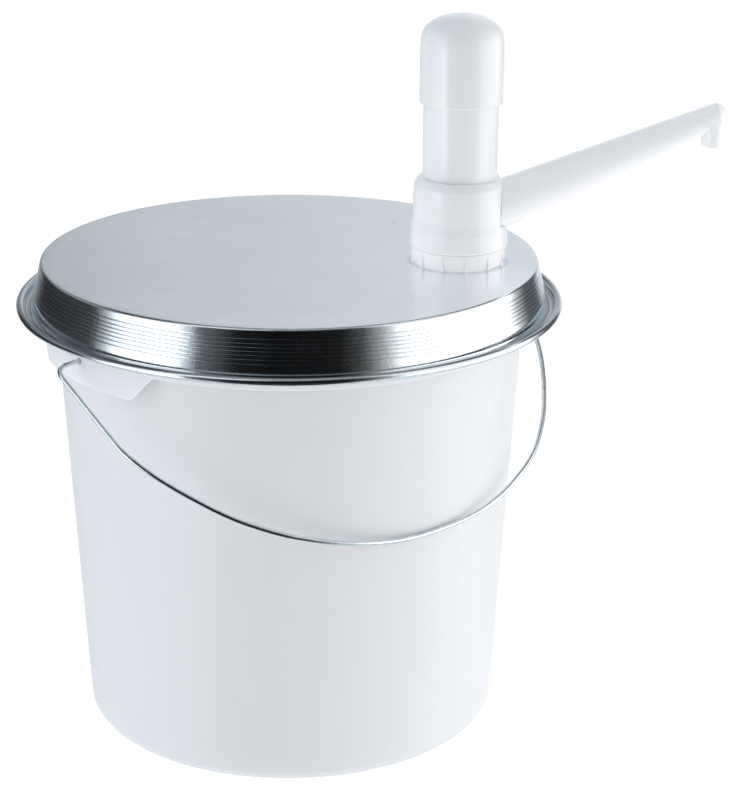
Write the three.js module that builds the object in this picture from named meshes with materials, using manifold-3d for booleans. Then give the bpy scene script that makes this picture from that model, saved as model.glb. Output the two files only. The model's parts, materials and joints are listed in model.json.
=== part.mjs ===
// Condiment pump dispenser: a ten-litre plastic bucket with a wire handle, a loose
// sheet-steel lid, and a plunger pump clamped through the lid, near its edge.
// Millimetres, +Z up. Origin: centre of the bucket's foot, on the floor.
// +X points from the bucket's axis to the pump's axis.
import * as THREE from 'three';
import { mergeVertices } from 'three/addons/utils/BufferGeometryUtils.js';
import Module from 'manifold-3d';

const wasm = await Module();
wasm.setup();

// ---------- driving dimensions (angles in degrees) ----------
const BUCKET_FACETS = 44;    // also the lid
const PUMP_FACETS = 22;

const WALL_SLOPE = 0.05572;  // bucket wall draft, radius per height
const WALL_BASE_Z = 10;
const WALL_BASE_R = 116.14;  // outer wall radius at WALL_BASE_Z
const WALL_T = 1.7;
const FLOOR_TOP = 3.4;
const RIM_TOP = 260.7;
const SKIRT_Z = 229.0;       // lower edge of the rim skirt
const SKIRT_R = 134.2;
const SKIRT_INNER_R = 132.4;

const EAR_AZIMUTH = 43.34;   // azimuth of the handle's hinge line
const EAR_Z = 215.1;         // lower edge of the ear flaps
const EAR_BULGE = 1.65;      // how far the flaps stand out past the skirt
const EAR_BULGE_Z = 221.0;   // from this height down
const EAR_BULGE_SLOPE = 0.02; // further bulge per height below EAR_BULGE_Z
const EAR_HALF_ANGLE = 23;
const EAR_FLAT_HALF_ANGLE = 17.5; // the lower edge slants up beyond this
const EAR_STEPS = 16;
const EAR_TOP_OVERLAP = 1.5; // how far the flap runs up into the skirt
const EAR_END_OVERLAP = 0.2; // the same for its lower edge, at the ends
const WEB_ANGLE = 9;         // webs on either side of the ear's middle
const WEB_HALF_T = 0.8;
const PIVOT_Z = 227.0;
const PIVOT_HOLE_X = 134.5;  // middle of the hole's cutter, out from the bucket's axis
const PIVOT_HOLE_R = 1.9;

const HANDLE_WIRE_R = 1.25;
const HANDLE_TILT = 54.8;    // the handle hangs this far from straight down

const LID_TOP = 261.8;
const LID_T = 0.8;
const LID_FLAT_R = 133.4;
const LID_HOLE_R = 19.2;
const BEAD_CENTRE_R = 147.5; // centre circle of the rolled bead
const BEAD_Z = 238.3;
const BEAD_R = 2.1;

const PUMP_X = 92.15;
const BORE_R = 16.0;
const CYLINDER_R = 18.4;     // cylinder and neck, outside
const CYLINDER_BOTTOM = 176.0;
const NECK_TOP = 281.0;
const STEM_R = 11.0;
const STEM_BORE_R = 8.6;
const BALL_R = 6.35;

const SPOUT_AZIMUTH = 7.74;  // how far the spout is turned from +X
const SPOUT_TILT = 22.9;     // how far the spout rises
const SPOUT_Z = 284.35;      // height where the spout's axis meets the pump's axis
const SPOUT_LENGTH = 147.3;  // along the spout's axis to the nozzle's axis
const SPOUT_ROOT_R = 13.0;
const SPOUT_ROOT_AT = 24;    // distance along the spout's axis that has SPOUT_ROOT_R
const SPOUT_TIP_R = 6.7;
const SPOUT_END_R = 7.3;     // round upright end of the spout, about the nozzle's axis
const ARM_START = 12;        // inner end of the arm along the spout's axis, before trimming
const SEAT_X = 21.5;         // flat on the spout body that the spout seats against
const SEAT_BOTTOM = 283.3;
const SEAT_HEIGHT = 26.7;
const SEAT_GAP = 0.3;
const NOTCH_GAP = 0.35;      // around the arm's root

// ---------- materials ----------
const standard = (settings) => new THREE.MeshStandardMaterial(settings);
const bucketPlastic = () => standard({ name: 'bucket_pp', color: 0xe6eaee, roughness: 0.42 });
const pumpPlastic = () => standard({ name: 'pump_pp', color: 0xf1f3f5, roughness: 0.32 });
const rubber = () => standard({ name: 'seal_rubber', color: 0x2b2d2f, roughness: 0.75 });
const metal = (name, color, roughness) => standard({ name, color, roughness, metalness: 1 });
const lidSteel = () => metal('lid_steel', 0xc4c9cc, 0.3);
const wireSteel = () => metal('wire_steel', 0xaeb6ba, 0.22);
const ballSteel = () => metal('ball_steel', 0xc9cdd0, 0.12);

// ---------- placing ----------
const radians = (degrees) => (degrees * Math.PI) / 180;
const shift = (x, y, z) => new THREE.Matrix4().makeTranslation(x, y, z);
const turnZ = (degrees) => new THREE.Matrix4().makeRotationZ(radians(degrees));
const turnY = (degrees) => new THREE.Matrix4().makeRotationY(radians(degrees));
const placed = (geometry, matrix) => geometry.clone().applyMatrix4(matrix);
const polar = (radius, azimuth, z) =>
  new THREE.Vector3(radius * Math.cos(radians(azimuth)), radius * Math.sin(radians(azimuth)), z);

// ---------- geometry helpers ----------
function volume(geometry) {
  const position = geometry.attributes.position;
  const index = geometry.index.array;
  const corners = [0, 1, 2].map(() => new THREE.Vector3());
  let total = 0;
  for (let i = 0; i < index.length; i += 3) {
    corners.forEach((corner, k) => corner.fromBufferAttribute(position, index[i + k]));
    total += corners[0].dot(corners[1].cross(corners[2])) / 6;
  }
  return total;
}

// Welds the vertices, drops collapsed triangles and turns the faces outward.
function clean(source) {
  let geometry = source.clone();
  for (const name of Object.keys(geometry.attributes)) {
    if (name !== 'position') geometry.deleteAttribute(name);
  }
  geometry = mergeVertices(geometry, 1e-3);
  const index = geometry.index.array;
  const kept = [];
  for (let i = 0; i < index.length; i += 3) {
    const [a, b, c] = [index[i], index[i + 1], index[i + 2]];
    if (a !== b && b !== c && a !== c) kept.push(a, b, c);
  }
  geometry.setIndex(kept);
  if (volume(geometry) < 0) {
    for (let i = 0; i < kept.length; i += 3) {
      [kept[i + 1], kept[i + 2]] = [kept[i + 2], kept[i + 1]];
    }
    geometry.setIndex(kept);
  }
  return geometry;
}

// Turns a profile of [radius, z] points about Z.
// The profile closes on itself unless it starts and ends on the axis.
function lathe(profile, facets = PUMP_FACETS) {
  const points = profile.map(([radius, z]) => new THREE.Vector2(radius, z));
  const onAxis = profile[0][0] === 0 && profile.at(-1)[0] === 0;
  if (!onAxis) points.push(points[0].clone());
  const geometry = new THREE.LatheGeometry(points, facets);
  geometry.rotateX(Math.PI / 2);
  return clean(geometry);
}

// Upright round bar, straight or tapered, between two heights.
function rod({ radius, endRadius = radius, from, to, facets = PUMP_FACETS }) {
  return lathe([[0, from], [radius, from], [endRadius, to], [0, to]], facets);
}

const box = (x, y, z, matrix) => placed(new THREE.BoxGeometry(x, y, z), matrix);

// Corners of a regular polygon, as [x, y] about the origin.
function polygon(radius, sides) {
  return Array.from({ length: sides }, (_, i) => {
    const angle = (i / sides) * 2 * Math.PI;
    return [radius * Math.cos(angle), radius * Math.sin(angle)];
  });
}

function oRing({ centreRadius, sectionRadius, z }) {
  return lathe(polygon(sectionRadius, 6).map(([x, y]) => [centreRadius + x, z + y]));
}

function wire({ path, radius, sides, steps }) {
  const section = polygon(radius, sides).map(([x, y]) => new THREE.Vector2(x, y));
  const options = { steps, extrudePath: path, bevelEnabled: false, curveSegments: 1 };
  return clean(new THREE.ExtrudeGeometry(new THREE.Shape(section), options));
}

// Skins a row of closed sections (arrays of points) into one closed body.
function loft(sections) {
  const count = sections[0].length;
  const index = [];
  for (let i = 0; i + 1 < sections.length; i++) {
    for (let j = 0; j < count; j++) {
      const a = i * count + j;
      const b = i * count + ((j + 1) % count);
      index.push(a, b, a + count, b, b + count, a + count);
    }
  }
  const last = (sections.length - 1) * count;
  for (let j = 1; j + 1 < count; j++) {
    index.push(0, j + 1, j);
    index.push(last, last + j, last + j + 1);
  }
  const geometry = new THREE.BufferGeometry();
  const coordinates = sections.flat().flatMap(({ x, y, z }) => [x, y, z]);
  geometry.setAttribute('position', new THREE.Float32BufferAttribute(coordinates, 3));
  geometry.setIndex(index);
  return clean(geometry);
}

function solid(source) {
  const geometry = clean(source);
  return new wasm.Manifold(new wasm.Mesh({
    numProp: 3,
    vertProperties: new Float32Array(geometry.attributes.position.array),
    triVerts: new Uint32Array(geometry.index.array),
  }));
}

function fromSolid(body) {
  const { vertProperties, triVerts } = body.getMesh();
  const geometry = new THREE.BufferGeometry();
  geometry.setAttribute('position', new THREE.BufferAttribute(vertProperties, 3));
  geometry.setIndex(Array.from(triVerts));
  return clean(geometry);
}

// ---------- bucket ----------
const wallRadius = (z) => WALL_BASE_R + WALL_SLOPE * (z - WALL_BASE_Z);

function bucketShell() {
  return lathe([
    [0, 0], [14, 0], [15, 1.2], [100, 1.2], [101.5, 0], [108.5, 0],
    [112.0, 0.35], [113.8, 1.0], [115.2, 2.8], [115.9, 5.5],
    [wallRadius(10), 10], [wallRadius(257.6), 257.6],
    [132.9, 257.6], [SKIRT_INNER_R, SKIRT_Z], [SKIRT_R - 0.4, SKIRT_Z],
    [SKIRT_R, SKIRT_Z + 0.5], [134.6, 257.5], [134.0, 259.8],
    [132.4, RIM_TOP], [129.6, RIM_TOP], [128.9, 260.2],
    [wallRadius(257) - WALL_T, 257], [wallRadius(12) - WALL_T, 12],
    [113.2, 7.0], [110.6, 4.5], [106, FLOOR_TOP], [0, FLOOR_TOP],
  ], BUCKET_FACETS);
}

// How far an ear flap stands out past the skirt at height z.
function earBulge(z) {
  if (z <= EAR_BULGE_Z) return EAR_BULGE + EAR_BULGE_SLOPE * (EAR_BULGE_Z - z);
  return EAR_BULGE * Math.max(0, (SKIRT_Z - z) / (SKIRT_Z - EAR_BULGE_Z));
}

// The rim skirt hangs lower here, with slanting ends.
function earFlap(azimuth) {
  const top = SKIRT_Z + EAR_TOP_OVERLAP;
  const sections = [];
  for (let i = 0; i <= EAR_STEPS; i++) {
    const offset = -EAR_HALF_ANGLE + (2 * EAR_HALF_ANGLE * i) / EAR_STEPS;
    const slant = Math.max(0, Math.abs(offset) - EAR_FLAT_HALF_ANGLE)
      / (EAR_HALF_ANGLE - EAR_FLAT_HALF_ANGLE);
    const bottom = EAR_Z + slant * (SKIRT_Z + EAR_END_OVERLAP - EAR_Z);
    const bend = Math.max(bottom, EAR_BULGE_Z);
    const skirtEdge = Math.max(bottom, SKIRT_Z);
    const section = [
      [SKIRT_INNER_R + earBulge(bottom), bottom],
      [SKIRT_R + earBulge(bottom), bottom],
      [SKIRT_R + earBulge(bend), bend],
      [SKIRT_R, skirtEdge],
      [SKIRT_R, top],
      [SKIRT_INNER_R, top],
      [SKIRT_INNER_R, skirtEdge],
      [SKIRT_INNER_R + earBulge(bend), bend],
    ];
    sections.push(section.map(([radius, z]) => polar(radius, azimuth + offset, z)));
  }
  return loft(sections);
}

// Upright web that ties an ear flap to the wall.
function earWeb(azimuth) {
  const outline = [ // [radius, z]
    [127.2, 216.4], [134.9, 216.4], [134.9, EAR_BULGE_Z],
    [133.4, SKIRT_Z], [133.6, 258.5], [127.2, 258.5],
  ];
  const web = loft([-WEB_HALF_T, WEB_HALF_T].map(
    (y) => outline.map(([radius, z]) => new THREE.Vector3(radius, y, z))));
  return placed(web, turnZ(azimuth));
}

function pivotHole(azimuth) {
  const hole = rod({ radius: PIVOT_HOLE_R, from: -8, to: 8, facets: 16 });
  const place = turnZ(azimuth).multiply(shift(PIVOT_HOLE_X, 0, PIVOT_Z)).multiply(turnY(90));
  return placed(hole, place);
}

function bucket() {
  let body = solid(bucketShell());
  for (const azimuth of [EAR_AZIMUTH, EAR_AZIMUTH + 180]) {
    body = body.add(solid(earFlap(azimuth)));
    for (const offset of [-WEB_ANGLE, WEB_ANGLE]) {
      body = body.add(solid(earWeb(azimuth + offset)));
    }
    body = body.subtract(solid(pivotHole(azimuth)));
  }
  return fromSolid(body);
}

// ---------- wire handle ----------
// Wire centre line in the handle's own plane: [along the hinge line, away from it].
const HANDLE_LINE = [
  [130.4, 0], [134.2, 0.2], [141, 0.8], [145.6, 1.9], [148.3, 4.2], [149.0, 8],
  [148.4, 12.5], [147.5, 17.6], [146.4, 24.1], [144.2, 37.2], [142.0, 50.2], [140.7, 57],
  [138.7, 63], [136.0, 69], [130.7, 78.8], [124.0, 88.8], [116.6, 98.4], [108.8, 107.7],
  [100.2, 116.3], [90.6, 124.0], [80.3, 131.1], [69.0, 137.2], [57.1, 142.6], [44.0, 147.0],
  [30.9, 150.2], [16.9, 152.3], [3.0, 152.9], [-10, 152.3], [-22.1, 151.4], [-34.6, 149.4],
  [-47.2, 146.1], [-59.5, 141.8], [-71.5, 136.2], [-84.0, 129.6], [-95.9, 121.4],
  [-106.4, 111.8], [-116.1, 101.4], [-124.5, 90.3], [-132.1, 78.8], [-138.9, 66.9],
  [-144.3, 54.8], [-148.2, 43.5], [-151, 30], [-152.4, 18], [-152, 9.8], [-150.4, 4.8],
  [-146.8, 2.1], [-141, 0.9], [-134.2, 0.2], [-130.4, 0],
];

function bailHandle() {
  const hinge = polar(1, EAR_AZIMUTH + 180, 0);
  const away = polar(Math.sin(radians(HANDLE_TILT)), EAR_AZIMUTH - 90,
    -Math.cos(radians(HANDLE_TILT)));
  const points = HANDLE_LINE.map(([along, out]) => new THREE.Vector3(0, 0, PIVOT_Z)
    .addScaledVector(hinge, along).addScaledVector(away, out));
  const path = new THREE.CatmullRomCurve3(points, false, 'centripetal');
  return wire({ path, radius: HANDLE_WIRE_R, sides: 6, steps: 72 });
}

// ---------- lid ----------
function beadPoint(degrees) {
  const angle = radians(degrees);
  return [BEAD_CENTRE_R + BEAD_R * Math.cos(angle), BEAD_Z + BEAD_R * Math.sin(angle)];
}

function lid() {
  const sheet = lathe([
    // underside, outward
    [0, LID_TOP - LID_T], [133.2, LID_TOP - LID_T], [134.6, 260.6], [135.4, 259.7],
    [135.75, 258.4], [139.6, 243.0], [140.15, 239.2], [141.1, 236.6], [142.9, 235.2],
    [144.8, 235.2], [146.1, 235.9],
    ...[-90, -30, 30, 90, 150].map(beadPoint),
    // upper side, inward
    [144.95, 237.2], [144.2, 236.2], [143.1, 236.1], [141.9, 237.3], [141.0, 239.6],
    [140.4, 243.2], [136.55, 258.6], [136.1, 260.2], [135.1, 261.35],
    [LID_FLAT_R, LID_TOP], [0, LID_TOP],
  ], BUCKET_FACETS);
  const hole = placed(rod({ radius: LID_HOLE_R, from: 250, to: 270 }), shift(PUMP_X, 0, 0));
  return fromSolid(solid(sheet).subtract(solid(hole)));
}

// ---------- fixed pump parts, about the pump's axis ----------
const pumpCylinder = () => lathe([
  [BORE_R, CYLINDER_BOTTOM], [CYLINDER_R, CYLINDER_BOTTOM], [CYLINDER_R, 256.2],
  [25.0, 256.2], [25.0, 258.8], [CYLINDER_R, 258.8], // flange under the lid
  [CYLINDER_R, 274.6], [17.2, 275.0], [17.2, 277.4], [CYLINDER_R, 277.8], // O-ring groove
  [CYLINDER_R, 280.4], [17.8, NECK_TOP], [16.6, NECK_TOP], [BORE_R, 280.2],
]);

const lidGasket = () => lathe([[19.2, 259.1], [24.8, 259.1], [24.8, 260.7], [19.2, 260.7]]);

// Panels taper in towards the lid; thin upright fins stand between them.
function clampNut() {
  const fins = 12;
  let body = solid(lathe([
    [18.9, 262.1], [24.3, 262.1], [25.7, 270.6], [25.7, 271.2], [18.9, 271.2],
  ]));
  for (let i = 0; i < fins; i++) {
    const place = turnZ((i + 0.5) * (360 / fins)).multiply(shift(24.1, 0, 266.5));
    body = body.add(solid(box(3.6, 1.3, 8.7, place)));
  }
  return fromSolid(body);
}

const footValveHousing = () => lathe([
  [9.3, 150.0], [11.5, 150.0], [11.5, 171.5], [CYLINDER_R, 171.5], [CYLINDER_R, 175.7],
  [15.7, 175.7], [15.7, 183.0], [14.4, 183.4], [14.4, 185.8], [15.7, 186.2],
  [15.7, 191.4], [15.2, 192.0], [11.0, 192.0], [11.0, 187.0], [8.5, 187.0],
  [8.5, 175.5], [5.0, 172.0], [5.0, 166.4], [9.3, 166.4],
]);

// Disc with a ring of through holes.
function inletBallCage() {
  const holes = 3;
  let body = solid(rod({ radius: 10.7, from: 187.3, to: 189.5, facets: 20 }));
  for (let i = 0; i < holes; i++) {
    const hole = rod({ radius: 2.4, from: 180, to: 195, facets: 12 });
    const place = turnZ((360 / holes) * i).multiply(shift(6.2, 0, 0));
    body = body.subtract(solid(placed(hole, place)));
  }
  return fromSolid(body);
}

function ball(z) {
  const geometry = new THREE.SphereGeometry(BALL_R, 14, 9);
  geometry.rotateX(Math.PI / 2);
  geometry.translate(0, 0, z);
  return clean(geometry);
}

// Straight tube, cut at a slant at its lower end.
function suctionTube() {
  const tube = lathe([[6.6, 14.0], [9.0, 14.0], [9.0, 166.1], [6.6, 166.1]], 16);
  const slant = box(60, 60, 20, shift(0, 0, 12).multiply(turnY(28)));
  return fromSolid(solid(tube).subtract(solid(slant)));
}

// ---------- spout, pointing along +X in the head's frame ----------
const armRadius = (distance) => SPOUT_ROOT_R
  + ((SPOUT_TIP_R - SPOUT_ROOT_R) / (SPOUT_LENGTH - SPOUT_ROOT_AT)) * (distance - SPOUT_ROOT_AT);

// Lays local +Z out along the spout's axis.
const alongSpout = (geometry) =>
  placed(geometry, shift(0, 0, SPOUT_Z).multiply(turnY(90 - SPOUT_TILT)));

// Cutter for whatever lies on the -X side of a plane.
const cutterBehind = (x) => solid(box(60, 80, 120, shift(x - 30, 0, 300)));

function spoutBody() {
  let body = solid(lathe([
    [18.9, 271.6], [25.9, 271.6], [26.5, 272.3], [26.5, 273.3], [26.15, 277.5],
    [25.9, 283.0], [25.1, 283.9], [24.9, 287.0], [24.9, 300.9], [24.6, 304.2],
    [24.0, 306.5], [22.4, 308.6], [21.2, 309.0], [20.4, 309.0], [20.4, 303.4],
    [13.6, 303.4], [13.6, 299.8], [11.5, 299.8], [11.5, 297.6], [16.5, 297.6],
    [16.5, 281.4], [18.9, 281.4],
  ]));
  const seat = box(20, 60, SEAT_HEIGHT, shift(SEAT_X + 10, 0, SEAT_BOTTOM + SEAT_HEIGHT / 2));
  body = body.subtract(solid(seat));
  // the arm's root reaches below the flat, into a fitted notch in the band
  const notch = alongSpout(rod({
    radius: armRadius(ARM_START) + NOTCH_GAP,
    endRadius: armRadius(60) + NOTCH_GAP,
    from: ARM_START,
    to: 60,
    facets: 20,
  }));
  body = body.subtract(solid(notch).subtract(cutterBehind(SEAT_X)));
  const port = rod({ radius: 8.95, from: 12, to: 40, facets: 16 });
  return fromSolid(body.subtract(solid(alongSpout(port))));
}

function spoutArm() {
  const tipX = SPOUT_LENGTH * Math.cos(radians(SPOUT_TILT));
  const tipZ = SPOUT_Z + SPOUT_LENGTH * Math.sin(radians(SPOUT_TILT));
  const atTip = (geometry) => solid(placed(geometry, shift(tipX, 0, 0)));

  // tapered arm, trimmed past the nozzle's axis to a round upright end with a domed edge
  const armEnd = SPOUT_LENGTH + 14;
  let body = solid(alongSpout(rod({
    radius: armRadius(ARM_START),
    endRadius: armRadius(armEnd),
    from: ARM_START,
    to: armEnd,
    facets: 20,
  })));
  const dome = lathe([
    [0, 320], [SPOUT_END_R, 320], [SPOUT_END_R, 343.6], [6.6, 345.6], [5.35, 347.3],
    [3.9, 348.7], [1.8, 349.6], [0, 350.0],
  ], 20);
  const beyondTip = solid(box(40, 60, 80, shift(tipX + 20, 0, 340)));
  body = body.subtract(beyondTip.subtract(atTip(dome)));
  body = body.subtract(cutterBehind(SEAT_X + SEAT_GAP));

  // spigot that plugs into the body's side port
  const spigot = alongSpout(rod({ radius: 8.6, from: 14, to: 27, facets: 16 }));
  body = body.add(solid(spigot).subtract(cutterBehind(17.3)));

  // upright outlet below the tip
  const nozzleTop = tipZ - 0.4;
  const nozzle = lathe([
    [0, 325.4], [6.0, 325.4], [6.5, 337.0], [6.5, nozzleTop], [0, nozzleTop],
  ], 18);
  body = body.add(atTip(nozzle));

  // waterway
  const armBore = rod({ radius: 6.0, endRadius: 3.9, from: 10, to: SPOUT_LENGTH, facets: 12 });
  const nozzleBore = rod({ radius: 4.3, endRadius: 4.1, from: 320, to: tipZ + 0.6, facets: 12 });
  body = body.subtract(solid(alongSpout(armBore)));
  return fromSolid(body.subtract(atTip(nozzleBore)));
}

// ---------- plunger and its guide ----------
const guideTube = () => lathe([
  [17.7, 303.7], [20.05, 303.7], [20.25, 345.0], [20.2, 351.6], [19.4, 353.6],
  [18.2, 353.6], [17.7, 353.0],
]);

const glandRing = () => lathe([[11.5, 303.7], [17.3, 303.7], [17.3, 305.9], [11.5, 305.9]]);

class Helix extends THREE.Curve {
  constructor({ radius, bottom, top, turns }) {
    super();
    Object.assign(this, { radius, bottom, top, turns });
  }

  getPoint(t, target = new THREE.Vector3()) {
    const angle = 2 * Math.PI * this.turns * t;
    const z = this.bottom + (this.top - this.bottom) * t;
    return target.set(this.radius * Math.cos(angle), this.radius * Math.sin(angle), z);
  }
}

function returnSpring() {
  const path = new Helix({ radius: 14.6, bottom: 307.3, top: 387.1, turns: 9 });
  return wire({ path, radius: 0.8, sides: 5, steps: 90 });
}

const pushCap = () => lathe([
  // inside, with a socket round the stem's top
  [0, 391.6], [11.35, 391.6], [11.35, 377.6], [12.9, 377.6], [12.9, 388.3], [16.2, 388.3],
  [18.2, 386.8], [19.8, 384.5], [20.65, 380.6], [20.65, 349.8],
  // lower edge and outside
  [21.0, 349.2], [22.0, 349.2], [22.4, 349.8], [22.4, 376.7], [22.33, 380.9], [21.78, 385.2],
  [21.0, 387.3], [19.54, 389.4], [17.46, 391.5], [14.2, 393.5], [7.84, 395.6], [0, 396.2],
]);

const plungerStem = () => lathe([
  [STEM_BORE_R, 253.4], [STEM_R, 253.4], [STEM_R, 391.0], [STEM_BORE_R, 391.0],
]);

const piston = () => lathe([
  [5.0, 232.0], [14.6, 232.0], [15.4, 233.0], [15.4, 236.6], [13.4, 236.6], [13.4, 240.6],
  [15.4, 240.6], [15.4, 245.2], [14.6, 246.0], [8.0, 246.0], [8.0, 237.0], [5.0, 234.0],
]);

const pistonSeal = () => lathe([
  [13.7, 236.9], [15.5, 236.9], [15.8, 237.5], [15.5, 238.6], [15.8, 239.7], [15.5, 240.3],
  [13.7, 240.3],
]);

// Windowed crown above the piston: stops the ball and lets sauce out sideways.
function outletBallCage() {
  let body = solid(lathe([
    [8.0, 249.4], [0, 249.4], [0, 257.5], [8.3, 257.5], [8.3, 253.1], [STEM_R, 253.1],
    [STEM_R, 246.3], [8.0, 246.3],
  ]));
  for (const azimuth of [45, 135]) {
    const windows = box(40, 7.5, 2.6, turnZ(azimuth).multiply(shift(0, 0, 248.0)));
    body = body.subtract(solid(windows));
  }
  return fromSolid(body);
}

// ---------- assembly ----------
function addPiece(group, name, geometry, material) {
  geometry.computeVertexNormals();
  const piece = new THREE.Mesh(geometry, material);
  piece.name = name;
  group.add(piece);
}

const dispenser = new THREE.Group();
dispenser.name = 'condiment_pump_dispenser';
addPiece(dispenser, 'bucket', bucket(), bucketPlastic());
addPiece(dispenser, 'bail_handle', bailHandle(), wireSteel());
addPiece(dispenser, 'lid', lid(), lidSteel());

const pump = new THREE.Group();
pump.position.set(PUMP_X, 0, 0);
dispenser.add(pump);
const swivelORing = oRing({ centreRadius: 17.95, sectionRadius: 0.66, z: 276.2 });
const footValveORing = oRing({ centreRadius: 15.15, sectionRadius: 0.7, z: 184.6 });
addPiece(pump, 'pump_cylinder', pumpCylinder(), pumpPlastic());
addPiece(pump, 'lid_gasket', lidGasket(), rubber());
addPiece(pump, 'clamp_nut', clampNut(), pumpPlastic());
addPiece(pump, 'swivel_o_ring', swivelORing, rubber());
addPiece(pump, 'foot_valve_housing', footValveHousing(), pumpPlastic());
addPiece(pump, 'foot_valve_o_ring', footValveORing, rubber());
addPiece(pump, 'inlet_ball_cage', inletBallCage(), pumpPlastic());
addPiece(pump, 'inlet_ball', ball(176.05), ballSteel());
addPiece(pump, 'suction_tube', suctionTube(), pumpPlastic());

const head = new THREE.Group(); // turns with the spout
head.rotation.z = radians(SPOUT_AZIMUTH);
pump.add(head);
const stemSeal = oRing({ centreRadius: 12.4, sectionRadius: 1.0, z: 301.6 });
addPiece(head, 'spout_body', spoutBody(), pumpPlastic());
addPiece(head, 'spout_arm', spoutArm(), pumpPlastic());
addPiece(head, 'guide_tube', guideTube(), pumpPlastic());
addPiece(head, 'gland_ring', glandRing(), pumpPlastic());
addPiece(head, 'stem_seal', stemSeal, rubber());
addPiece(head, 'return_spring', returnSpring(), wireSteel());
addPiece(head, 'push_cap', pushCap(), pumpPlastic());
addPiece(head, 'plunger_stem', plungerStem(), pumpPlastic());
addPiece(head, 'piston', piston(), pumpPlastic());
addPiece(head, 'piston_seal', pistonSeal(), rubber());
addPiece(head, 'outlet_ball_cage', outletBallCage(), pumpPlastic());
addPiece(head, 'outlet_ball', ball(238.03), ballSteel());

export default dispenser;
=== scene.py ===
"""A lidded plastic bucket with a wire handle and a hand pump standing through its lid.

Z is up and the bucket's axis is the Z axis, with its foot at z = 0. The pump stands on +X and
its spout points outward, near +X. Pieces are built in millimetres and scaled to metres at the
end; materials, floor and camera are in metres. Angles are in degrees, azimuths from +X to +Y.
"""
import json
import math
import bpy
import numpy as np
from mathutils import Matrix
from math import cos, pi, radians, sin


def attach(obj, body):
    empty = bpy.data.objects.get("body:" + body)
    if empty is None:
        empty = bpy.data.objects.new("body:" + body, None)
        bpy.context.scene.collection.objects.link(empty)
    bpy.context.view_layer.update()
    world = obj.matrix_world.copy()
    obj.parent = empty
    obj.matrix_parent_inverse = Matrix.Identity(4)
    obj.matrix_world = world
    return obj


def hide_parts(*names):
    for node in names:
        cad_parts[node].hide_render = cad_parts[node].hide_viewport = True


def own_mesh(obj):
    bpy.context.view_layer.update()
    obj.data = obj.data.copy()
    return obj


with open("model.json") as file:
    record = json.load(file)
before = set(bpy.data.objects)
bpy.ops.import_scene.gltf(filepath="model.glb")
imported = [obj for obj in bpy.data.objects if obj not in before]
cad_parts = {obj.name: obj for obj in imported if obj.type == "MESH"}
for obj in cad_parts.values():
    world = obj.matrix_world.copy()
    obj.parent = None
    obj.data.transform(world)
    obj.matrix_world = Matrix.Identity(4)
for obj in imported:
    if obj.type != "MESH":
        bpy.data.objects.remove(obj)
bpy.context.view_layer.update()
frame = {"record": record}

MM = 0.001              # one millimetre in metres
PUMP_X = 92.15          # pump axis
SPOUT_AZIMUTH = 7.74
GROOVE_HEIGHTS = [257.1, 254.9, 253.0, 251.1, 249.2, 247.1, 244.9]  # rolled into the lid's skirt
scene = bpy.context.scene


# ---------------------------------------------------------------- placing
def move(x, y, z):
    return Matrix.Translation((x, y, z))


def turn_z(degrees):
    return Matrix.Rotation(radians(degrees), 4, "Z")


def turn_y(degrees):
    return Matrix.Rotation(radians(degrees), 4, "Y")


def place(ob, matrix):
    ob.data.transform(matrix)
    return ob


PUMP = move(PUMP_X, 0, 0)
HEAD = PUMP @ turn_z(SPOUT_AZIMUTH)


# ---------------------------------------------------------------- mesh helpers, in millimetres
def raw(name, verts, faces):
    mesh = bpy.data.meshes.new(name)
    mesh.from_pydata([tuple(v) for v in np.asarray(verts, float)], [], faces)
    mesh.validate()
    ob = bpy.data.objects.new(name, mesh)
    scene.collection.objects.link(ob)
    return ob


def rounded(profile, steps):
    """Profile of [r, z] or [r, z, fillet] points, with the fillets drawn as arcs."""
    points = [(p[0], p[1], p[2] if len(p) > 2 else 0.0) for p in profile]
    count = len(points)
    on_axis = points[0][0] == 0 and points[-1][0] == 0
    outline = []
    for i, (r, z, fillet) in enumerate(points):
        if fillet <= 0 or (on_axis and i in (0, count - 1)):
            outline.append((r, z))
            continue
        corner = np.array([r, z])
        back = np.array(points[i - 1][:2]) - corner
        ahead = np.array(points[(i + 1) % count][:2]) - corner
        back_len, ahead_len = np.linalg.norm(back), np.linalg.norm(ahead)
        back, ahead = back / back_len, ahead / ahead_len
        half = math.acos(max(-1, min(1, float(back @ ahead)))) / 2
        # a fillet takes less than half of either edge
        cut = min(fillet / math.tan(half), 0.48 * back_len, 0.48 * ahead_len)
        radius = cut * math.tan(half)
        bisector = (back + ahead) / np.linalg.norm(back + ahead)
        centre = corner + bisector * (radius / sin(half))
        start = math.atan2(*(corner + back * cut - centre)[::-1])
        end = math.atan2(*(corner + ahead * cut - centre)[::-1])
        sweep = (end - start + pi) % (2 * pi) - pi
        for k in range(steps + 1):
            a = start + sweep * k / steps
            outline.append((centre[0] + radius * cos(a), centre[1] + radius * sin(a)))
    return outline


def arc(r, z, radius, start=0, stop=360, step=24):
    """Profile points round the centre (r, z), at whole degrees."""
    return [(r + radius * cos(radians(a)), z + radius * sin(radians(a)))
            for a in range(start, stop, step)]


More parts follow.
